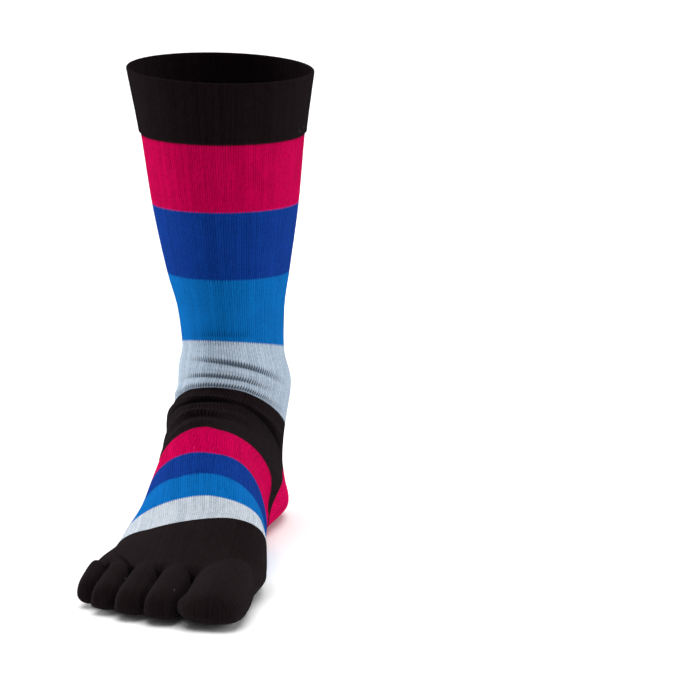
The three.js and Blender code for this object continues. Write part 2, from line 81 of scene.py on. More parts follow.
def sectionRows():
    calf, calfDeep = leg["calfWidth"], leg["calfDepth"]
    shin, shinDeep, ankle = leg["shinWidth"], leg["shinDepth"], leg["ankleWidth"]
    heel, instep, ball = foot["heelWidth"], foot["instepWidth"], foot["ballWidth"]
    rise, reach = foot["ankleRise"], foot["heelReach"]
    drop, high = foot["instepReach"], foot["instepHeight"]
    bend, line = leg["bendRise"], foot["toeLineHeight"]

    def slope(share):
        return line + (high - line) * share - rise

    front = [  # station, y, z
        (0, -0.404 * calfDeep, frontRise(0)),
        (1, -0.404 * calfDeep, frontRise(1)),
        (2, -0.377 * calfDeep, frontRise(2)),
        (3, -0.494 * shinDeep, frontRise(3)),
        (3.6, -0.481 * shinDeep, frontRise(3.6)),
        (4, -0.481 * shinDeep, frontRise(4)),
        (4.5, -0.506 * shinDeep, frontRise(4.5)),
        (5, -0.531 * shinDeep, frontRise(5)),
        (5.4, -0.773 * drop, bend + (high - rise - bend) * 0.46),
        (5.7, -0.879 * drop, bend + (high - rise - bend) * 0.78),
        (6, -topRun(6), high - rise),
        (7, -topRun(7), slope(0.796)),
        (8, -topRun(8), slope(0.63)),
        (9, -topRun(9), slope(0.463)),
        (10, -topRun(10), slope(0.296)),
        (11, -topRun(11), slope(0.13)),
        (12, -topRun(12), slope(0)),
    ]
    back = [
        (0, 0.596 * calfDeep, frontRise(0) + 0.044 * calfDeep),
        (1, 0.579 * calfDeep, frontRise(1)),
        (2, 0.5 * calfDeep, frontRise(2) - 0.018 * calfDeep),
        (3, 0.58 * shinDeep, frontRise(3) - 0.049 * shinDeep),
        (3.6, 0.519 * shinDeep, frontRise(3.6) - 0.111 * shinDeep),
        (4, 0.519 * shinDeep, frontRise(4) - 0.247 * shinDeep),
        (4.5, 0.531 * shinDeep, frontRise(4.5) - 0.407 * shinDeep),
        (5, 0.94 * reach, -0.402 * rise),
        (5.4, 0.98 * reach, -0.79 * rise),
        (5.55, 0.87 * reach, -0.97 * rise),
        (5.7, 0.5 * reach, -rise),
        (6, -0.273 * drop, -rise),
        (7, 0.43 * high - topRun(7), -0.99 * rise),
        (8, 0.329 * high - topRun(8), -0.99 * rise),
        (9, 0.228 * high - topRun(9), -0.99 * rise),
        (10, 0.127 * high - topRun(10), -rise),
        (11, 0.101 * high - topRun(11), -rise),
        (12, 0.025 * high - topRun(12), -0.99 * rise),
    ]
    girth = [  # station, half, shift, crest, belly, dome, base
        (0, 0.5 * calf, -0.087 * calf, 0, 0, 2, 2),
        (1, 0.443 * calf, -0.074 * calf, 0, 0, 2, 2),
        (2, 0.399 * calf, -0.058 * calf, 0, 0, 2, 2),
        (3, 0.6 * shin, -0.069 * shin, 0, 0, 2, 2),
        (3.6, 0.516 * shin, -0.036 * shin, 0, 0, 2, 2),
        (4, 0.495 * shin, -0.021 * shin, 0, 0, 2, 2),
        (4.5, 0.5 * ankle, -0.005 * ankle, 0, 0, 2, 2),
        (5, 0.49 * ankle, -0.045 * ankle, 0, 0, 2, 2.1),
        (5.4, 0.515 * heel, -0.115 * heel, -0.03 * heel, -0.32, 2.2, 2.6),
        (5.7, 0.53 * heel, -0.06 * heel, -0.07 * heel, -0.6, 2.2, 3.4),
        (6, 0.49 * instep, -0.1 * instep, 0.02 * instep, -0.55, 2.2, 4.2),
        (7, 0.53 * instep, -0.068 * instep, 0.058 * instep, -0.4, 2.1, 2.5),
        (8, 0.402 * ball, -0.036 * ball, 0.085 * ball, -0.4, 2, 2.6),
        (9, 0.438 * ball, -0.031 * ball, 0.155 * ball, -0.4, 2, 2.7),
        (10, 0.469 * ball, -0.021 * ball, 0.227 * ball, -0.4, 2, 2.7),
        (11, 0.518 * ball, -0.018 * ball, 0.155 * ball, -0.3, 2, 2.7),
        (12, 0.515 * ball, -0.025 * ball, 0.08 * ball, -0.2, 2, 2.7),
    ]
    turns = [  # station, roll, sweep
        (0, -0.04, 0), (1, -0.015, 0), (2, 0, 0), (10, 0, 0), (11, 0, -0.05), (12, 0, -0.12),
    ]
    return front, back, girth, turns


# Gathers: station, angle (90 is the front, 180 the little toe's side), spread in degrees,
# slant in stations for each 90 degrees, rise in millimetres, breadth in stations
folds = [
    (4.1, 93, 45, 0.05, -0.35, 0.05),
    (3.93, 85, 60, 0.04, -0.5, 0.05),
    (4.4, 78, 60, -0.2, 0.5, 0.05),
    (4.52, 72, 66, -0.2, -1.5, 0.05),
    (4.63, 85, 65, -0.14, 0.5, 0.05),
    (4.71, 80, 60, -0.08, 0.3, 0.03),
    (4.79, 85, 62, -0.08, -1.0, 0.04),
    (4.9, 80, 90, -0.03, 0.45, 0.05),
    (4.88, 165, 30, 0, 0.9, 0.06),
    (4.985, 85, 105, 0, -0.8, 0.04),
    (5.1, 110, 90, 0.05, -0.3, 0.05),
    (5.23, 70, 95, 0.05, 1.2, 0.035),
    (5.3, 22, 42, -0.1, -1.1, 0.04),
    (5.36, 95, 55, 0.22, -1.1, 0.045),
    (5.3, 160, 35, 0, 0.6, 0.08),
    (5.57, 92, 55, 0.2, 1.2, 0.045),
    (5.7, 95, 50, 0.15, -0.7, 0.05),
    (5.64, 158, 40, 0, 2.2, 0.14),
    (5.84, 110, 60, 0, 0.6, 0.05),
    (5.5, -15, 50, 0, -0.02 * foot["heelWidth"], 0.38),
]
# Where the knit sits askew: station, angle, spread in degrees, slip in stations,
# breadth in stations
slips = [
    (4, 90, 180, -0.03, 0.4),
    (5, 0, 60, 0.07, 0.3),
    (5, 150, 30, 0.06, 0.25),
    (6, 33, 42, -0.24, 0.4),
    (6, -45, 55, 0.15, 0.4),
    (6, -20, 38, 0.09, 0.4),
    (6, 132, 45, 0.2, 0.3),
    (7, 5, 75, -0.37, 0.4),
    (8, 145, 30, -0.15, 0.3),
    (9, 65, 30, 0.12, 0.3),
    (10, 125, 40, 0.09, 0.4),
    (10, 172, 35, -0.25, 0.4),
]


# Smooth curve through one column of a table, with no overshoot between its rows
def track(rows, column):
    at = np.array([row[0] for row in rows], float)
    value = np.array([row[column] for row in rows], float)
    slope = np.diff(value) / np.diff(at)
    tangent = np.zeros(len(value))
    tangent[0], tangent[-1] = slope[0], slope[-1]
    for i in range(1, len(slope)):
        if slope[i - 1] * slope[i] > 0:
            before, after = at[i] - at[i - 1], at[i + 1] - at[i]
            near, far = 2 * after + before, after + 2 * before
            tangent[i] = (near + far) / (near / slope[i - 1] + far / slope[i])

    def curve(station):
        k = np.clip(np.searchsorted(at, station, side="right") - 1, 0, len(slope) - 1)
        span = at[k + 1] - at[k]
        u = (station - at[k]) / span
        hold = u * u * (3 - 2 * u)
        return value[k] * (1 - hold) + value[k + 1] * hold + span * u * (1 - u) * (
            tangent[k] * (1 - u) - tangent[k + 1] * u)

    return curve


frontRows, backRows, girthRows, turnRows = sectionRows()
frontY, frontZ = track(frontRows, 1), track(frontRows, 2)
backY, backZ = track(backRows, 1), track(backRows, 2)
half, shift, crest, belly, dome, base = (track(girthRows, column) for column in range(1, 7))
roll, sweep = track(turnRows, 1), track(turnRows, 2)


# Both ways from -1 to 1 round a squared ellipse, with its widest place at low
def squared(angle, low, upper, lower):
    cosine, sine = np.cos(angle), np.sin(angle)
    power = 2 / np.where(sine > 0, upper, lower)
    across = np.sign(cosine) * np.abs(cosine) ** power
    rise = np.abs(sine) ** power
    return across, np.where(sine > 0, low + (1 - low) * rise, low - (1 + low) * rise)


# Degrees from a gather's middle to each angle, the short way round
def offMiddle(angle, middle):
    turn = angle - math.radians(middle)
    return np.degrees(np.arctan2(np.sin(turn), np.cos(turn)))


# How strongly a gather acts: fully at its middle, and not at all past its spread
def strength(off, spread):
    return np.cos(np.clip(off / spread, -1, 1) * math.pi / 2)


# What a table of gathers or slips, which have no slant, adds up to at a place
def gathered(rows, station, angle):
    total = np.zeros(np.shape(station))
    for row in rows:
        at, middle, spread, amount, breadth = row[:3] + row[-2:]
        slant = row[3] if len(row) == 6 else 0
        off = offMiddle(angle, middle)
        past = (station - at - slant * off / 90) / breadth
        total = total + amount * strength(off, spread) * np.exp(-past * past)
    return total


# The broadest gather that shades, in stations, and how far its shade runs, in breadths
shadow = {"broadest": 0.1, "above": 3, "below": 0.7}


# Painted shade in a crease: how dark it is drawn, crisp along its lower side and fading out above
# it
def creaseShadeAt(station, angle):
    total = np.zeros(np.shape(station))
    for at, middle, spread, slant, rise, breadth in folds:
        if rise < 0 and breadth < shadow["broadest"]:
            off = offMiddle(angle, middle)
            past = (station - at - slant * off / 90) / breadth
            above, below = 1 - (past / shadow["above"]) ** 2, 1 - past / shadow["below"]
            depth = np.where(past < 0, above, below)
            total += min(-rise, 1) * strength(off, spread) * np.clip(depth, 0, 1)
    return np.clip(total, 0, 1)


crestFocus = 1.5  # how closely the crest's lean keeps to the top


# The knit's outer face before it folds, in millimetres
def ringPoint(station, angle):
    station = station + gathered(slips, station, angle)
    low = belly(station)
    across, up = squared(angle, low, dome(station), base(station))
    lean = crest(station) * np.clip((up - low) / (1 - low), 0, 1) ** crestFocus
    x = shift(station) + half(station) * across + lean
    share = (1 + up) / 2
    y = backY(station) + (frontY(station) - backY(station)) * share + sweep(station) * x
    z = backZ(station) + (frontZ(station) - backZ(station)) * share + roll(station) * x
    return np.stack([x, y, z], -1)


# The same with its gathers, and lifted off by some millimetres
def knitPoint(station, angle, lift=0):
    probe = 0.01
    along = ringPoint(station + probe, angle) - ringPoint(station - probe, angle)
    around = ringPoint(station, angle + probe) - ringPoint(station, angle - probe)
    outward = np.cross(around, along)
    outward /= np.linalg.norm(outward, axis=-1, keepdims=True)
    return ringPoint(station, angle) + outward * (lift + gathered(folds, station, angle))[..., None]


# Length along a line of points, up to each of them
def runAlong(points):
    return np.concatenate([[0], np.cumsum(np.linalg.norm(np.diff(points, axis=0), axis=1))])


# Angles that divide each ring evenly, from the middle of the back all round
def evenAngles(stations, sides):
    dense = np.linspace(-0.5 * math.pi, 1.5 * math.pi, fineSteps + 1)
    rows = []
    for station in stations:
        run = runAlong(ringPoint(np.full(dense.shape, station), dense))
        rows.append(np.interp(np.linspace(0, run[-1], sides + 1), run, dense))
    return np.array(rows)


# Courses from the cuff's top to each station, counted down the tube's middle
def courseAt(station):
    stops = np.linspace(0, toeStation, stationSteps * toeStation + 1)
    middle = [(frontY(stops) + backY(stops)) / 2, (frontZ(stops) + backZ(stops)) / 2]
    run = runAlong(np.stack(middle, -1))
    borders = np.interp(np.arange(toeStation + 1), stops, run)
    whole = np.rint(borders / knit["coursePitch"])  # a stripe holds a whole number of courses
    return np.interp(station, np.arange(toeStation + 1), whole)


# One property of every vertex, edge, face or corner of a mesh
def readAll(items, key, width=1, kind=float):
    values = np.empty(len(items) * width, kind)
    items.foreach_get(key, values)
    return values.reshape(-1, width) if width > 1 else values


def readPoints(mesh):
    return readAll(mesh.vertices, "co", 3) / millimetre


def setPoints(mesh, points):
    mesh.vertices.foreach_set("co", (points * millimetre).ravel())


def setCreaseShade(mesh, depths):
    mesh.attributes.new("creaseShade", "FLOAT", "POINT").data.foreach_set("value", depths)


# Selects some pieces, with the first of them active
def pick(*pieces):
    bpy.ops.object.select_all(action="DESELECT")
    for piece in pieces:
        piece.select_set(True)
    bpy.context.view_layer.objects.active = pieces[0]


# Runs one mesh operator on the whole of the active piece
def edit(operator, **settings):
    bpy.ops.object.mode_set(mode="EDIT")
    bpy.ops.mesh.select_all(action="SELECT")
    operator(**settings)
    bpy.ops.object.mode_set(mode="OBJECT")


knitUnit = 1000  # wales and courses to one unit of the UV map


# A grid primitive rolled into a tube and closed: rows of points go along, columns go round
def rollTube(name, points, wales=None, courses=None, creaseShades=None):
    rows, sides = len(points) - 1, len(points[0]) - 1
    points[:, -1] = points[:, 0]
    bpy.ops.object.select_all(action="DESELECT")
    bpy.ops.mesh.primitive_grid_add(x_subdivisions=sides, y_subdivisions=rows, size=1)
    tube = bpy.context.object
    tube.name = tube.data.name = name
    mesh = tube.data
    flat = readAll(mesh.vertices, "co", 3)
    column = np.rint((flat[:, 0] + 0.5) * sides).astype(int)
    row = np.rint((flat[:, 1] + 0.5) * rows).astype(int)
    setPoints(mesh, points[row, column])
    if creaseShades is not None:
        setCreaseShade(mesh, creaseShades[row, column])
    if wales is not None:
        corner = readAll(mesh.loops, "vertex_index", kind=int)
        uv = np.stack([wales[column[corner]], courses[row[corner]]], -1) / knitUnit
        mesh.uv_layers.active.data.foreach_set("uv", uv.ravel())
        mesh.uv_layers.active.name = "knitGrid"
    edit(bpy.ops.mesh.remove_doubles, threshold=1e-6)
    return tube


def applyModifier(piece, kind, **settings):
    pick(piece)
    change = piece.modifiers.new(kind.title(), kind)
    for key, value in settings.items():
        setattr(change, key, value)
    bpy.ops.object.modifier_apply(modifier=change.name)


# One layer of knit, inward from the shape's outer face
def thicken(piece):
    applyModifier(piece, "SOLIDIFY", thickness=knit["wall"] * millimetre, offset=-1,
                  use_even_offset=False)


def smooth(piece, degrees=40):
    pick(piece)
    bpy.ops.object.shade_smooth_by_angle(angle=math.radians(degrees))


# Shader maths: a socket that takes part in expressions
class Field:
    def __init__(self, tree, socket):
        self.tree, self.socket = tree, socket

    # Another output of the same node
    def other(self, output):
        return Field(self.tree, self.socket.node.outputs[output])

    def join(self, operation, *others):
        step = self.tree.nodes.new("ShaderNodeMath")
        step.operation = operation
        for slot, value in zip(step.inputs, (self,) + others):
            connect(self.tree, slot, value)
        return Field(self.tree, step.outputs[0])

    def __add__(self, other):
        return self.join("ADD", other)

    __radd__ = __add__

    def __mul__(self, other):
        return self.join("MULTIPLY", other)

    __rmul__ = __mul__

    def __sub__(self, other):
        return self.join("SUBTRACT", other)

    def __rsub__(self, other):
        return (self * -1) + other

    def __pow__(self, other):
        return self.join("POWER", other)


def connect(tree, slot, value):
    if isinstance(value, Field):
        tree.links.new(value.socket, slot)
    else:
        slot.default_value = value


# The nodes of a material or of the world
class Recipe:
    def __init__(self, owner):
        owner.use_nodes = True
        self.owner, self.tree = owner, owner.node_tree
        self.tree.nodes.clear()

    # Any node: settings first, then the values or links of its sockets
    def node(self, kind, settings=None, values=None, output=0):
        made = self.tree.nodes.new(kind)
        for key, value in (settings or {}).items():
            setattr(made, key, value)
        for key, value in (values or {}).items():
            connect(self.tree, made.inputs[key], value)
        return Field(self.tree, made.outputs[output])

    def mix(self, factor, first, second):
        return self.node("ShaderNodeMix", {"data_type": "RGBA"},
                         {0: factor, 6: first, 7: second}, output=2)

    def ramp(self, value, low, high):
        return self.node("ShaderNodeMapRange", {"interpolation_type": "SMOOTHSTEP"},
                         {"Value": value, "From Min": low, "From Max": high})

    def noise(self, place, scale, detail):
        return self.node("ShaderNodeTexNoise",
                         values={"Vector": place, "Scale": scale, "Detail": detail})

    # One value for each vector, with no relation to its neighbours'
    def chance(self, vector):
        return self.node("ShaderNodeTexWhiteNoise", {"noise_dimensions": "3D"}, {"Vector": vector})

    # The shader, which ends the recipe
    def finish(self, end, shader, values):
        last = self.tree.nodes.new(end)
        connect(self.tree, last.inputs["Surface"], self.node(shader, values=values))
        return self.owner


yarns = {  # colour of the stitches, colour between them darkened as painted shade, sheen and its tint, lint
    "black": {"base": (0.0150, 0.0098, 0.0108), "grooveShade": (0.0014, 0.0009, 0.0011),
              "sheen": 0.03, "sheenTint": (0.9, 0.85, 0.9), "lint": 1.0},
    "raspberry": {"base": (0.640, 0.0010, 0.0860), "grooveShade": (0.200, 0.0003, 0.0200),
                  "sheen": 0.08, "sheenTint": (1.0, 0.12, 0.35), "lint": 0.25},
    "royal": {"base": (0.0060, 0.0460, 0.290), "grooveShade": (0.0015, 0.0140, 0.100),
              "sheen": 0.08, "sheenTint": (0.2, 0.3, 1.0), "lint": 0.3},
    "azure": {"base": (0.0040, 0.154, 0.505), "grooveShade": (0.0012, 0.0560, 0.190),
              "sheen": 0.08, "sheenTint": (0.15, 0.5, 1.0), "lint": 0.2},
    "ice": {"base": (0.520, 0.600, 0.685), "grooveShade": (0.125, 0.190, 0.270),
            "sheen": 0.08, "sheenTint": (1.0, 0.92, 0.85), "lint": 0.0},
    # the same yarns drawn darker or lighter where the scene's light falls on a part more or less
    # strongly: painted shade on the cuff and the leg's raspberry, painted light on the toes, the
    # heel and the foot's ice
    "blackWeltShaded": {"base": (0.0115, 0.0070, 0.0080), "grooveShade": (0.0012, 0.0008, 0.0010),
                  "sheen": 0.02, "sheenTint": (0.9, 0.85, 0.9), "lint": 1.0},
    "blackToeLit": {"base": (0.0160, 0.0106, 0.0116), "grooveShade": (0.0034, 0.0023, 0.0026),
                 "sheen": 0.03, "sheenTint": (0.9, 0.85, 0.9), "lint": 1.0},
    "raspberryLegShaded": {"base": (0.590, 0.0010, 0.0800), "grooveShade": (0.180, 0.0003, 0.0180),
                     "sheen": 0.08, "sheenTint": (1.0, 0.12, 0.35), "lint": 0.25},
    "raspberryHeelLit": {"base": (0.680, 0.0020, 0.0980), "grooveShade": (0.300, 0.0006, 0.0320),
                      "sheen": 0.08, "sheenTint": (1.0, 0.12, 0.35), "lint": 0.25},
    "iceFootLit": {"base": (0.645, 0.690, 0.725), "grooveShade": (0.180, 0.230, 0.300),
                "sheen": 0.08, "sheenTint": (1.0, 0.95, 0.9), "lint": 0.0},
}


# How the stitches are drawn: lengths in wales and courses, and strengths as shares
stitch = {
    "legSpread": 0.85, "courseDip": 0.45, "waleDip": 0.75,
    "teeth": 1.9,  # how far, in courses, the stitches reach into the next yarn
    "strokeGain": 1.25, "strokeSides": 1.05, "strokeEdge": 0.42,  # painted shade: dark stitches drawn in the creases and hollows
    "strokeDepth": 0.85, "strokeTone": 0.35,
    "fuzzNoise": (2600.0, 2.0), "mottleNoise": (70.0, 3.0),  # scale per metre, and detail
    "fuzz": 0.5, "mottle": 0.28, "stitchTone": 0.18, "waleTone": 0.16, "brightest": 0.85,
    "fuzzBump": 0.6,
    "lintScale": 150.0, "lintSize": (0.055, 0.03), "lintShare": (0.93, 0.95),
    "lintDepth": 0.6, "lintColour": (0.35, 0.36, 0.4, 1),
    "roughness": 0.94, "crownSmooth": 0.14, "sheenRoughness": 0.4,
}


# Plain knit, courses counted along the UV map's v. Where the yarn changes at a course,
# stitches of the yarn above reach down between those of the yarn below
def knitFinish(name, yarn, above=None, first=0, teeth=stitch["teeth"]):
    tone = yarns[yarn]
    recipe = Recipe(bpy.data.materials.new(name))
    uv = recipe.node("ShaderNodeUVMap", {"uv_map": "knitGrid"})
    scaled = recipe.node("ShaderNodeVectorMath", {"operation": "SCALE"},
                         {0: uv, "Scale": knitUnit})
    wale = recipe.node("ShaderNodeSeparateXYZ", values={0: scaled})
    course = wale.other(1)
    place = recipe.node("ShaderNodeTexCoord", output="Object")

    # across is 0 in the middle of a wale and 1 between two, and a stitch's two legs spread upwards
    across = (wale.join("FRACT") - 0.5).join("ABSOLUTE") * 2
    leaned = course - across * stitch["legSpread"]
    inCourse = (leaned.join("FRACT") - 0.5).join("ABSOLUTE") * 2
    legOff = (across - 0.5).join("ABSOLUTE") * 2
    relief = (1 - legOff * legOff) * (1 - inCourse * inCourse * stitch["courseDip"])
    relief = relief * (1 - across * across * stitch["waleDip"])

    number = wale.join("FLOOR")
    column = recipe.node("ShaderNodeCombineXYZ", values={0: number})
    cell = recipe.node("ShaderNodeCombineXYZ", values={0: number, 1: leaned.join("FLOOR")})
    fuzz = recipe.noise(place, *stitch["fuzzNoise"]) - 0.5
    mottle = recipe.noise(place, *stitch["mottleNoise"]) - 0.5
    # Each stitch is drawn from the colour between stitches, painted shade in the grooves, up to its
    # top colour by its relief; the random tone of each stitch and wale, the fuzz and the mottling
    # are the yarn's own
    toneAndShade = recipe.ramp(relief + fuzz * stitch["fuzz"]
                        + (recipe.chance(cell) - 0.5) * stitch["stitchTone"]
                        + (recipe.chance(column) - 0.5) * stitch["waleTone"]
                        + mottle * stitch["mottle"], 0.0, stitch["brightest"])

    grooveShade, top = tone["grooveShade"] + (1,), tone["base"] + (1,)
    if above:
        old = (course - across * teeth).join("LESS_THAN", first)
        grooveShade = recipe.mix(old, grooveShade, yarns[above]["grooveShade"] + (1,))
        top = recipe.mix(old, top, yarns[above]["base"] + (1,))
    colour = recipe.mix(toneAndShade, grooveShade, top)
    # Painted shade in the creases and hollows: stitches drawn dark, from the edges of the wales
    # inward
    creaseShade = recipe.node("ShaderNodeAttribute", {"attribute_name": "creaseShade"}, output="Fac")
    shadeStroke = recipe.ramp(creaseShade * stitch["strokeGain"] - (1 - across) * stitch["strokeSides"],
                         0.0, stitch["strokeEdge"])
    colour = recipe.mix(shadeStroke * stitch["strokeDepth"], colour,
                        tuple(stitch["strokeTone"] * part for part in tone["grooveShade"]) + (1,))
    if tone["lint"]:
        speck = recipe.node("ShaderNodeTexVoronoi", output="Distance",
                            values={"Vector": place, "Scale": stitch["lintScale"]})
        near = recipe.ramp(speck, *stitch["lintSize"])
        some = recipe.ramp(recipe.chance(speck.other("Position")), *stitch["lintShare"])
        share = near * some * (stitch["lintDepth"] * tone["lint"])
        colour = recipe.mix(share, colour, stitch["lintColour"])
    bump = recipe.node("ShaderNodeBump", values={
        "Strength": 1.0, "Distance": knit["stitchDepth"] * millimetre,
        "Height": relief + fuzz * stitch["fuzzBump"]})
    return recipe.finish("ShaderNodeOutputMaterial", "ShaderNodeBsdfPrincipled", {
        "Base Color": colour, "Roughness": stitch["roughness"] - toneAndShade * stitch["crownSmooth"],
        "Normal": bump, "Specular IOR Level": 0.0, "Sheen Weight": tone["sheen"],
        "Sheen Roughness": stitch["sheenRoughness"], "Sheen Tint": tone["sheenTint"] + (1,)})


def dress(piece, yarn, finish, *nodes):
    piece.data.materials.clear()
    piece.data.materials.append(finish)
    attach(piece, "root")
    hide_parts(*nodes)


# The leg's and the foot's plain bands, each with the yarn above it. Its tone is another entry of
# yarns, a copy of its yarn drawn darker as painted shade on the leg's raspberry and lighter as
# painted light on the foot's ice, and teeth are how far the stitches reach over its border
bands = [
    {"node": "leg_stripe_raspberry", "yarn": "raspberry", "above": "black",
     "from": 1, "rows": 40, "wales": 212, "tone": "raspberryLegShaded"},
    {"node": "leg_stripe_royal", "yarn": "royal", "above": "raspberry",
     "from": 2, "rows": 41, "wales": 184},
    {"node": "leg_stripe_azure", "yarn": "azure", "above": "royal",
     "from": 3, "rows": 50, "wales": 158},
    {"node": "leg_stripe_ice", "yarn": "ice", "above": "azure",
     "from": 4, "rows": 110, "wales": 146},
    {"node": "foot_stripe_raspberry", "yarn": "raspberry", "above": "black",
     "from": 6, "rows": 24, "wales": 150, "teeth": 0.8},
    {"node": "foot_stripe_royal", "yarn": "royal", "above": "raspberry",
     "from": 7, "rows": 22, "wales": 156},
    {"node": "foot_stripe_azure", "yarn": "azure", "above": "royal",
     "from": 8, "rows": 20, "wales": 162},
    {"node": "foot_stripe_ice", "yarn": "ice", "above": "azure",
     "from": 9, "rows": 18, "wales": 168, "tone": "iceFootLit"},
]


# One value for each row of a tube, repeated all round it
def allRound(values, sides):
    return np.repeat(np.array(values)[:, None], sides + 1, axis=1)


def knitTube(name, start, end, rows, wales):
    stations = np.linspace(start, end, rows + 1)
    angles = evenAngles(stations, knit["sides"])
    grid = allRound(stations, knit["sides"])
    tube = rollTube(name, knitPoint(grid, angles), np.linspace(0, wales, knit["sides"] + 1),
                    courseAt(stations), creaseShadeAt(grid, angles))
    thicken(tube)
    return tube


for band in bands:
    tube = knitTube(band["node"] + "_knit", band["from"], band["from"] + 1,
                    band["rows"], band["wales"])
    smooth(tube)
    finish = knitFinish(band["node"] + "Knit", band.get("tone", band["yarn"]), band["above"],
                        float(courseAt(band["from"])), band.get("teeth", stitch["teeth"]))
    dress(tube, band["yarn"], finish, band["node"])
print("stripes knitted")

# The cuff, one tube folded down inside itself
cuff = {
    "bodyRows": 34, "turnRows": 8, "wales": 240,
    "hem": 1.2,  # how far above its lower edge the cuff stands fully proud
    "turnHeight": 0.8,  # how high its folded top edge is, as a share of a half circle
}


def knitCuff():
    tall, rows, turns = leg["heights"][0], cuff["bodyRows"], cuff["turnRows"]
    outer = np.linspace(1, 0, rows + 1)
    stations, lifts = list(outer), []
    for station in outer:
        near = min((1 - station) / (cuff["hem"] / tall), 1)
        lifts.append(knit["cuffProud"] * math.sin(near * math.pi / 2) ** 0.5)
    radius = knit["weltWall"] / 2
    for step in range(1, turns):
        turn = math.pi * step / turns
        stations.append(-cuff["turnHeight"] * radius * math.sin(turn) / tall)
        lifts.append(knit["cuffProud"] - radius + radius * math.cos(turn))
    stations += list(outer[::-1]) + [1.0]
    lifts += [knit["cuffProud"] - knit["weltWall"]] * (rows + 1) + [0.0]
    angles = evenAngles(np.clip(stations, 0, 1), knit["sides"])
    points = knitPoint(allRound(stations, knit["sides"]), angles, allRound(lifts, knit["sides"]))
    points[-1] = points[0]
    courses = runAlong(points[:, knit["sides"] // 4]) / knit["coursePitch"]
    welt = rollTube("cuff_welt", points, np.linspace(0, cuff["wales"], knit["sides"] + 1), courses)
    edit(bpy.ops.mesh.normals_make_consistent, inside=False)
    return welt


welt = knitCuff()
smooth(welt, degrees=60)
# The cuff's black is drawn darker than the yarn, as painted shade
dress(welt, "black", knitFinish("cuffKnit", "blackWeltShaded"), "cuff")
print("cuff turned")

# The ankle band and the heel pocket, parted along the heel seam
heel = {"rows": 130, "wales": 146, "seamSteps": 48, "seamFullness": 0.62, "seamReach": 0.94}


# A prism across the foot, with the heel seam as its upper front edge
def heelCutter():
    reach, rise = foot["pocketReach"] * heel["seamReach"], foot["pocketRise"]
    back, low, width = foot["heelReach"], -foot["ankleRise"], foot["heelWidth"] * millimetre
    outline = [(back - reach, low - rise)]
    for step in range(heel["seamSteps"] + 1):
        turn = 0.5 * math.pi * step / heel["seamSteps"]
        outline.append((back - reach * max(math.cos(turn), 0) ** heel["seamFullness"],
                        low + rise * math.sin(turn) ** heel["seamFullness"]))
    outline += [(2 * back, low + rise), (2 * back, low - rise)]
    bpy.ops.object.select_all(action="DESELECT")
    bpy.ops.mesh.primitive_circle_add(vertices=len(outline), radius=1, fill_type="NGON")
    cutter = bpy.context.object
    for vertex, (y, z) in zip(cutter.data.vertices, outline):
        vertex.co = (-width, y * millimetre, z * millimetre)
    edit(bpy.ops.mesh.extrude_region_move, TRANSFORM_OT_translate={"value": (2 * width, 0, 0)})
    edit(bpy.ops.mesh.normals_make_consistent, inside=False)
    return cutter


def duplicate(piece, name):
    pick(piece)
    bpy.ops.object.duplicate()
    copy = bpy.context.object
    copy.name = copy.data.name = name
    return copy


cutter = heelCutter()
ankle = knitTube("ankle_band_knit", bendStation, instepStation, heel["rows"], heel["wales"])
pocket = duplicate(ankle, "heel_pocket_knit")
applyModifier(ankle, "BOOLEAN", operation="DIFFERENCE", object=cutter, solver="EXACT")
applyModifier(pocket, "BOOLEAN", operation="INTERSECT", object=cutter, solver="EXACT")
bpy.data.objects.remove(cutter)
smooth(ankle)
smooth(pocket)
ankleFinish = knitFinish("ankleBandKnit", "black", "ice", float(courseAt(bendStation)))
dress(ankle, "black", ankleFinish, "ankle_band")
# The heel's raspberry is drawn lighter than the yarn, as painted light
dress(pocket, "raspberry", knitFinish("heelPocketKnit", "raspberryHeelLit"), "heel_pocket")
print("heel set in")

# The forefoot, a tube with a rounded nose at the toe line, and its toe pockets
nose = {"sides": 160, "rows": 30, "start": 9.4, "turns": 6, "angle": 80, "closing": 0.5}
toeTable = {
    "length": 43, "height": 26, "sides": 64, "medialEdge": 0.497, "gap": 0.3,
    "belly": -0.15, "dome": 2.5, "base": 2.8,
    "rings": 46, "tipStart": 0.94, "tipRings": [0.955, 0.97, 0.98, 0.99, 0.996, 1],
    "rootEnd": 0.1, "rootRun": 0.4, "cornerAt": 0.84, "cornerRun": 0.12, "cornerSpread": 0.5,
}
# Each toe: node, width, length, height, fan, how full its root is, and how far its outer corner
# stands out, in millimetres, and at what angle. Width and fan are shares of the ball's width,
# and length and height are shares of the big toe's
toes = [
    ("toe_big", 0.351, 1.0, 1.0, -0.008, 1.0, 2.8, 168),
    ("toe_second", 0.198, 0.97, 0.95, 0.016, 0.95, 1.6, 215),
    ("toe_third", 0.176, 0.91, 0.92, 0.018, 0.94, 2.0, 215),
    ("toe_fourth", 0.158, 0.78, 0.87, 0.016, 0.88, 1.6, 215),
    ("toe_little", 0.115, 0.57, 0.88, 0.007, 0.62, 0.8, 190),
]
toeRings = [  # place along the toe, width, height, lift off the floor, shift outward
    (-0.55, 0.7, 0.98, 0.02, 0),
    (-0.3, 0.84, 0.98, 0.02, 0),
    (0.06, 0.97, 0.97, 0.02, 0),
    (0.3, 1.01, 0.95, 0.01, 0),
    (0.55, 1.02, 0.88, 0.02, 0),
    (0.75, 0.99, 0.78, 0.06, 0.01),
    (0.87, 0.92, 0.66, 0.12, 0.03),
    (0.95, 0.78, 0.5, 0.19, 0.06),
    (0.985, 0.55, 0.34, 0.26, 0.09),
    (1, 0.25, 0.16, 0.34, 0.11),
]
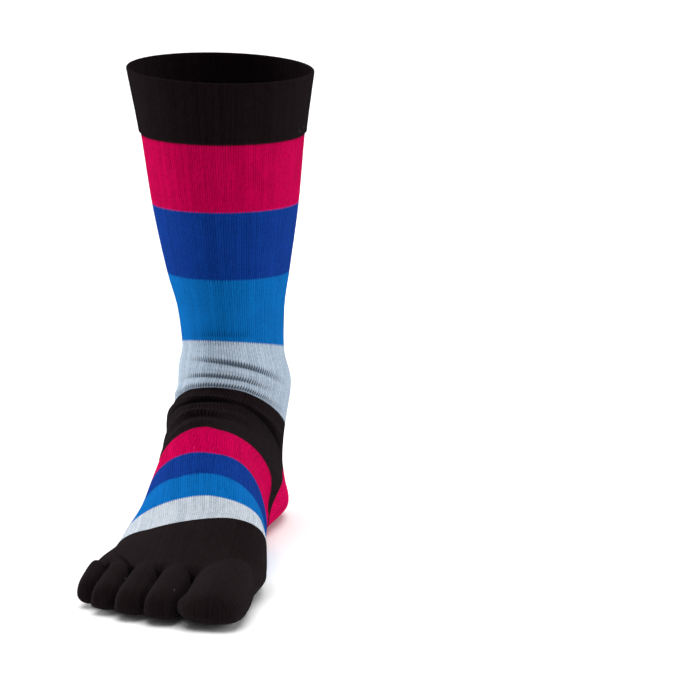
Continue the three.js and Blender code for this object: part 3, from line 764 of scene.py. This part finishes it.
# Creases over the toes' roots: which gap between toes, how far each starts ahead of the toe line,
# runs outward and runs back, its depth and its breadth, in millimetres
rootCreases = [
    (3, 5, 20, 30, 1.9, 1.8),
    (4, 2, 2.5, 11, 2.4, 1.9),
]
# How the joined knit is eased, mapped and shaded in its hollows
easing = {
    "voxel": 0.77, "factor": 0.5, "turns": 4, "rootTurns": 14, "rootReach": 12,
    "waleWidth": 1.1, "sideFacing": 0.75,
    "hollowTurns": 20, "hollowDepth": 0.65, "hollowFloor": 0.15,
}


def capEnds():
    bpy.ops.object.mode_set(mode="EDIT")
    bpy.ops.mesh.select_all(action="DESELECT")
    bpy.ops.mesh.select_mode(type="VERT")
    bpy.ops.mesh.select_non_manifold()
    bpy.ops.mesh.fill_holes(sides=0)
    bpy.ops.object.mode_set(mode="OBJECT")
    edit(bpy.ops.mesh.normals_make_consistent, inside=False)


def forefootBody():
    stations = np.linspace(nose["start"], toeStation, nose["rows"] + 1)
    points = list(knitPoint(allRound(stations, nose["sides"]), evenAngles(stations, nose["sides"])))
    end = points[-1]
    middle = end[:-1].mean(0)
    closing = foot["noseReach"] / foot["toeLineHeight"] + nose["closing"]
    for step in range(1, nose["turns"] + 1):
        turn = math.radians(nose["angle"]) * step / nose["turns"]
        shrink = 1 - closing * (1 - math.cos(turn))
        narrow = 1 - (1 - shrink) * foot["toeLineHeight"] / foot["ballWidth"]
        ring = end.copy()
        ring[:, 0] = middle[0] + (end[:, 0] - middle[0]) * narrow
        ring[:, 1] -= foot["noseReach"] * math.sin(turn)
        ring[:, 2] = middle[2] + (end[:, 2] - middle[2]) * shrink
        points.append(ring)
    body = rollTube("forefoot_body", np.array(points))
    capEnds()
    return body


# Each toe's middle, side by side from the foot's inner edge outward
def toeMiddles():
    edge, middles = toeTable["medialEdge"] * foot["ballWidth"], []
    for toe in toes:
        width = toe[1] * foot["ballWidth"]
        middles.append(edge - width / 2)
        edge -= width + toeTable["gap"]
    return middles


def toeBody(toe, middle):
    name, width, length, height, fan, root, corner, cornerAngle = toe
    width, fan = width * foot["ballWidth"], fan * foot["ballWidth"]
    length, height = length * toeTable["length"], height * toeTable["height"]
    along = np.linspace(toeRings[0][0], toeTable["tipStart"], toeTable["rings"])
    along = np.append(along, toeTable["tipRings"])
    angle = np.linspace(0, 2 * math.pi, toeTable["sides"] + 1)
    across, up = squared(angle, toeTable["belly"], toeTable["dome"], toeTable["base"])
    wide, tall, lift, outward = (track(toeRings, column)(along)[:, None] for column in range(1, 5))
    along = along[:, None]
    behind = np.clip(toeTable["rootEnd"] - along, 0, toeTable["rootRun"])
    tall = tall * (1 - (1 - root) * behind / toeTable["rootRun"])
    blunt = np.exp(-((along - toeTable["cornerAt"]) / toeTable["cornerRun"]) ** 2) * np.exp(
        -((angle - math.radians(cornerAngle)) / toeTable["cornerSpread"]) ** 2)
    x = middle - along * fan - outward * width + wide * width / 2 * across - corner * blunt
    y = (-topRun(toeStation) - along * length + sweep(toeStation) * middle) + 0 * x
    z = -foot["ankleRise"] + lift * height + tall * height * (1 + up) / 2
    body = rollTube(name + "_body", np.stack([x, y, z], -1))
    capEnds()
    return body


# The creases that the knit draws out from the toes' gaps over their roots
def drawCreases(whole):
    mesh = whole.data
    co, normal = readPoints(mesh), readAll(mesh.vertices, "normal", 3)
    for gap, start, outward, back, depth, breadth in rootCreases:
        side = toeTable["medialEdge"] * foot["ballWidth"] - sum(
            toe[1] * foot["ballWidth"] + toeTable["gap"] for toe in toes[:gap])
        first = np.array([side, -topRun(toeStation) + sweep(toeStation) * side - start])
        run = np.array([-outward, back])
        share = np.clip((co[:, :2] - first) @ run / (run @ run), 0, 1)
        off = np.linalg.norm(co[:, :2] - first - share[:, None] * run, axis=1)
        pull = depth * (1 - share ** 2) * np.exp(-(off / breadth) ** 2)
        co -= normal * (pull * np.clip(normal[:, 2] * 2, 0, 1))[:, None]
    setPoints(mesh, co)


# The forefoot ends at its border with the stripe. Sliding each point back along the foot by
# as much as the border runs ahead there makes that border flat for the cut
def cutForefoot(whole):
    station, mesh = float(toeRootStation), whole.data
    front = np.array([0, frontY(station), frontZ(station)])
    rear = np.array([0, backY(station), backZ(station)])
    line = (front - rear) / np.linalg.norm(front - rear)
    ahead, middle = np.array([0, -line[2], line[1]]), (front + rear) / 2
    turn = np.linspace(-math.pi, math.pi, fineSteps + 1)
    border = knitPoint(np.full(turn.shape, station), turn) - middle
    around = np.arctan2(border @ line, border[:, 0])
    order = np.argsort(around)

    def slide(sign):
        co = readPoints(mesh)
        at = np.arctan2((co - middle) @ line, co[:, 0])
        run = np.interp(at, around[order], (border @ ahead)[order], period=2 * math.pi)
        setPoints(mesh, co + sign * run[:, None] * ahead)

    slide(-1)
    edit(bpy.ops.mesh.bisect, plane_co=tuple(middle * millimetre), plane_no=tuple(-ahead),
         clear_inner=False, clear_outer=True)
    slide(1)


def knitForefoot():
    pick(forefootBody(), *[toeBody(toe, middle) for toe, middle in zip(toes, toeMiddles())])
    bpy.ops.object.join()
    whole = bpy.context.object
    whole.name = whole.data.name = "forefoot_knit"
    applyModifier(whole, "REMESH", mode="VOXEL", voxel_size=easing["voxel"] * millimetre)
    applyModifier(whole, "SMOOTH", factor=easing["factor"], iterations=easing["turns"])
    # Where the toes leave the forefoot, it is eased further
    roots = whole.vertex_groups.new(name="toeRoots")
    for vertex in whole.data.vertices:
        past = -vertex.co.y / millimetre - topRun(toeStation)
        roots.add([vertex.index], max(0.0, 1 - abs(past) / easing["rootReach"]), "REPLACE")
    applyModifier(whole, "SMOOTH", factor=easing["factor"], iterations=easing["rootTurns"],
                  vertex_group="toeRoots")
    drawCreases(whole)
    cutForefoot(whole)
    return whole


# Courses run along the foot, and wales across it, or up it where its sides are steep
def mapForefoot(piece):
    mesh = piece.data
    while mesh.uv_layers:
        mesh.uv_layers.remove(mesh.uv_layers[0])
    layer = mesh.uv_layers.new(name="knitGrid")
    at = readPoints(mesh)[readAll(mesh.loops, "vertex_index", kind=int)]
    facing = np.repeat(readAll(mesh.polygons, "normal", 3),
                       readAll(mesh.polygons, "loop_total", kind=int), axis=0)
    side = np.abs(facing[:, 0]) > easing["sideFacing"]
    wale = np.where(side, at[:, 2], at[:, 0]) / easing["waleWidth"]
    course = -at[:, 1] / knit["coursePitch"]
    layer.data.foreach_set("uv", (np.stack([wale, course], -1) / knitUnit).ravel())


# How deep each point lies in a hollow, such as between two toes, kept as its crease shade: painted
# shade that draws the knit darker there
def shadeHollows(piece):
    mesh, count = piece.data, len(piece.data.vertices)
    co, normal = readPoints(mesh), readAll(mesh.vertices, "normal", 3)
    first, second = readAll(mesh.edges, "vertices", 2, int).T
    links = np.bincount(first, minlength=count) + np.bincount(second, minlength=count)
    near = co.copy()
    for step in range(easing["hollowTurns"]):  # each point moves to the middle of its neighbours
        sums = [np.bincount(first, side[second], count) + np.bincount(second, side[first], count)
                for side in near.T]
        near = np.stack(sums, -1) / links[:, None]
    depth = ((near - co) * normal).sum(1)
    setCreaseShade(mesh, np.clip(depth / easing["hollowDepth"] - easing["hollowFloor"], 0, 1))


forefoot = knitForefoot()
print("forefoot joined")
mapForefoot(forefoot)
shadeHollows(forefoot)
thicken(forefoot)
smooth(forefoot, degrees=60)
# The toes' black is drawn a little lighter than the yarn, as painted light
dress(forefoot, "black", knitFinish("forefootKnit", "blackToeLit"),
      "forefoot", "toe_big", "toe_second", "toe_third", "toe_fourth", "toe_little")
print("toes formed")

# Studio: a pale floor, lamps at both sides, and a wide soft ceiling in surroundings that are
# brightest at the sides and above
studio = {
    "floorSize": 60.0, "floorSteps": 96, "floorDrop": 0.0004, "floorRoughness": 0.9,
    "floorTones": ((0.95, 0.95, 0.95, 1), (0.97, 0.97, 0.97, 1)), "floorScale": 3.0,
    "floorDetail": 2.0,
    "front": 0.04, "sides": 0.55, "top": 0.35,  # how bright the surroundings are each way
    "sidesFocus": 2.5, "topFocus": 1.5,  # how closely that brightness keeps to its way
    "ceilingPower": 3.2, "ceilingSpread": 66, "ceilingHeight": 2,
    "lampSize": 1.0,
    "lamps": [  # name, place, watts
        ("sideLightLeft", (-1.5, 0.1, 0.4), 21),
        ("sideLightRight", (1.5, 0.3, 0.35), 12.5),
    ],
}
bpy.ops.object.select_all(action="DESELECT")
bpy.ops.mesh.primitive_circle_add(
    vertices=studio["floorSteps"], radius=studio["floorSize"] / 2, fill_type="NGON",
    location=(0, 0, -foot["ankleRise"] * millimetre - studio["floorDrop"]))
floor = bpy.context.object
floor.name = "studio_floor"
bpy.ops.object.transform_apply(location=True, rotation=True, scale=True)
pale = Recipe(bpy.data.materials.new("paleFloor"))
mottling = pale.node("ShaderNodeTexNoise", values={
    "Scale": studio["floorScale"], "Detail": studio["floorDetail"]})
floor.data.materials.append(pale.finish("ShaderNodeOutputMaterial", "ShaderNodeBsdfPrincipled", {
    "Base Color": pale.mix(mottling, *studio["floorTones"]),
    "Roughness": studio["floorRoughness"]}))

for name, place, power in studio["lamps"]:
    bpy.ops.object.light_add(type="AREA", location=place)
    lamp = bpy.context.object
    lamp.name = lamp.data.name = name
    lamp.data.size, lamp.data.energy = studio["lampSize"], power
    lamp.rotation_euler = (-lamp.location).to_track_quat("-Z", "Y").to_euler()

bpy.ops.object.light_add(type="SUN", location=(0, 0, studio["ceilingHeight"]))
ceiling = bpy.context.object
ceiling.name = ceiling.data.name = "ceilingLight"
ceiling.data.energy = studio["ceilingPower"]
ceiling.data.angle = math.radians(studio["ceilingSpread"])

sky = Recipe(bpy.data.worlds.new("studioWorld"))
way = sky.node("ShaderNodeTexCoord", output="Generated")
way = sky.node("ShaderNodeSeparateXYZ", values={0: way})
sideways = way.join("ABSOLUTE") ** studio["sidesFocus"]
upwards = way.other(2).join("MAXIMUM", 0.0) ** studio["topFocus"]
bpy.context.scene.world = sky.finish("ShaderNodeOutputWorld", "ShaderNodeBackground", {
    "Color": (1, 1, 1, 1),
    "Strength": sideways * studio["sides"] + upwards * studio["top"] + studio["front"]})
print("studio lit")

# Camera: the ankle joint shows at a pixel of the photograph's square frame, 700 pixels wide
view = {
    "distance": 1.6, "elevation": 13.5, "azimuth": 13.0, "focal": 1.63, "frame": 700,
    "ankle": (232, 395), "sensor": 36, "farthest": 50,
}
focalPixels = view["focal"] * view["distance"] / millimetre
elevation, azimuth = math.radians(view["elevation"]), math.radians(view["azimuth"])
heading = azimuth - math.atan((view["frame"] / 2 - view["ankle"][0]) / focalPixels)
pitch = elevation - math.atan((view["ankle"][1] - view["frame"] / 2) / focalPixels)
bpy.ops.object.camera_add(location=(
    view["distance"] * math.sin(azimuth) * math.cos(elevation),
    -view["distance"] * math.cos(azimuth) * math.cos(elevation),
    view["distance"] * math.sin(elevation)), rotation=(math.pi / 2 - pitch, 0, heading))
camera = bpy.context.object
camera.name = "photographCamera"
camera.data.sensor_width = view["sensor"]
camera.data.lens = focalPixels * camera.data.sensor_width / view["frame"]
camera.data.clip_end = view["farthest"]
bpy.context.scene.camera = camera
bpy.context.scene.view_settings.view_transform = "Standard"
